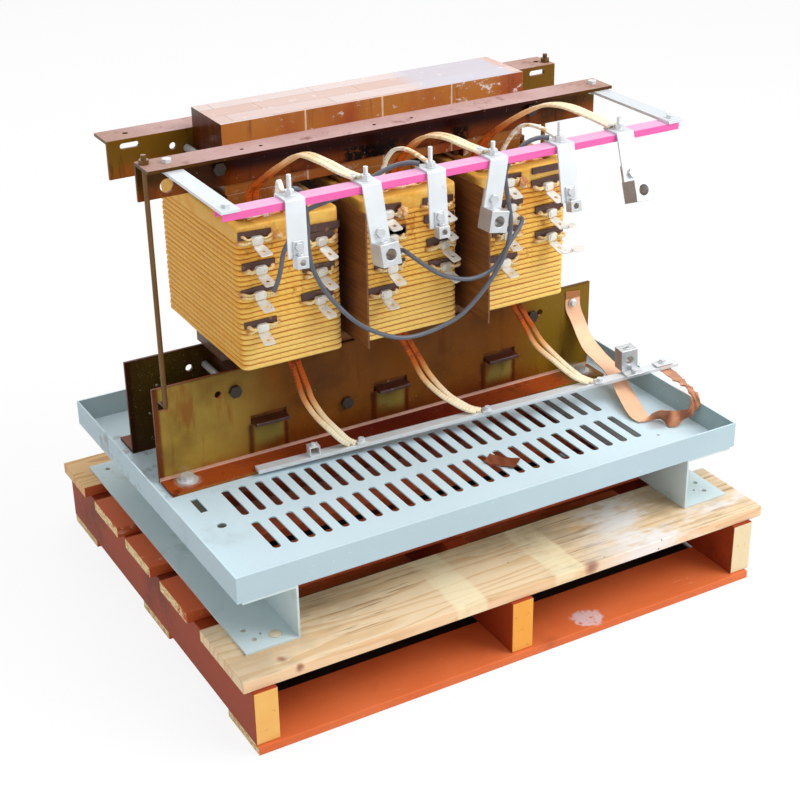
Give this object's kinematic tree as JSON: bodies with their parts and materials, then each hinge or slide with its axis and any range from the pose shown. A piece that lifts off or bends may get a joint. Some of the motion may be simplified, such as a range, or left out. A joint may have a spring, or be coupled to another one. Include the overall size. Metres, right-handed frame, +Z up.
{
  "type": "open dry-type three-phase transformer",
  "caption": "Open three-phase transformer: laminated core in clamp angles, taped coils with tap terminals, straps with wire lugs, on a slotted tray with channel feet and a pallet.",
  "frame": {"origin": "centre of the pallet's footprint on the ground, on the underside of the middle bottom board", "axes": "+X along the row of coils, -Y towards the terminal side, +Z up"},
  "size_m": [0.9677, 0.756, 0.774],
  "materials": {
    "painted_wood": "red-brown painted softwood, worn at the ends",
    "raw_wood": "unpainted softwood with knots and grain",
    "tray_paint": "light grey-blue coated sheet",
    "clamp_plating": "yellowish plating under streaked brown varnish",
    "core_varnish": "varnished lamination stack, copper brown",
    "bolt_dark": "dark varnished steel",
    "zinc": "zinc plated",
    "coil_tape": "varnished yellow tape, satin",
    "inner_tape": "varnished orange tape",
    "pressboard": "brown pressboard",
    "fibreglass": "pink fibreglass",
    "aluminium": "pale mill finish",
    "lead_paper": "paper-taped strip, varnished",
    "copper": "bare copper, dull",
    "cable_sheath": "grey sheath, satin"
  },
  "bodies": {
    "root": {"pallet_stringers": "painted_wood", "pallet_front_board": "raw_wood", "pallet_deck_boards": "painted_wood", "pallet_bottom_boards": "painted_wood", "foot_left": "tray_paint", "foot_right": "tray_paint", "base_tray": "tray_paint", "bottom_clamp_front": "clamp_plating", "bottom_clamp_rear": "clamp_plating", "top_clamp_front": "clamp_plating", "top_clamp_rear": "clamp_plating", "core_top_yoke": "core_varnish", "core_bottom_yoke": "core_varnish", "core_legs": "core_varnish", "yoke_supports": "clamp_plating", "frame_bolts": "bolt_dark", "foot_bolts": "zinc", "coil_blocks": "pressboard", "coil_left": "coil_tape", "coil_middle": "coil_tape", "coil_right": "coil_tape", "inner_winding_left": "inner_tape", "inner_winding_middle": "inner_tape", "inner_winding_right": "inner_tape", "phase_barriers": "pressboard", "tie_rods": "bolt_dark", "terminal_bar": "fibreglass", "terminal_arms": "aluminium", "line_straps": "aluminium", "large_lugs": "aluminium", "small_lugs": "aluminium", "tap_strips": "pressboard", "tap_terminals": "zinc", "upper_leads": "lead_paper", "lower_leads": "lead_paper", "neutral_bar": "aluminium", "neutral_lug": "aluminium", "short_leads": "lead_paper", "neutral_fittings": "aluminium", "ground_strap": "copper", "jumper_long": "cable_sheath", "jumper_short": "cable_sheath", "jumper_tap": "cable_sheath"}
  },
  "joints": []
}
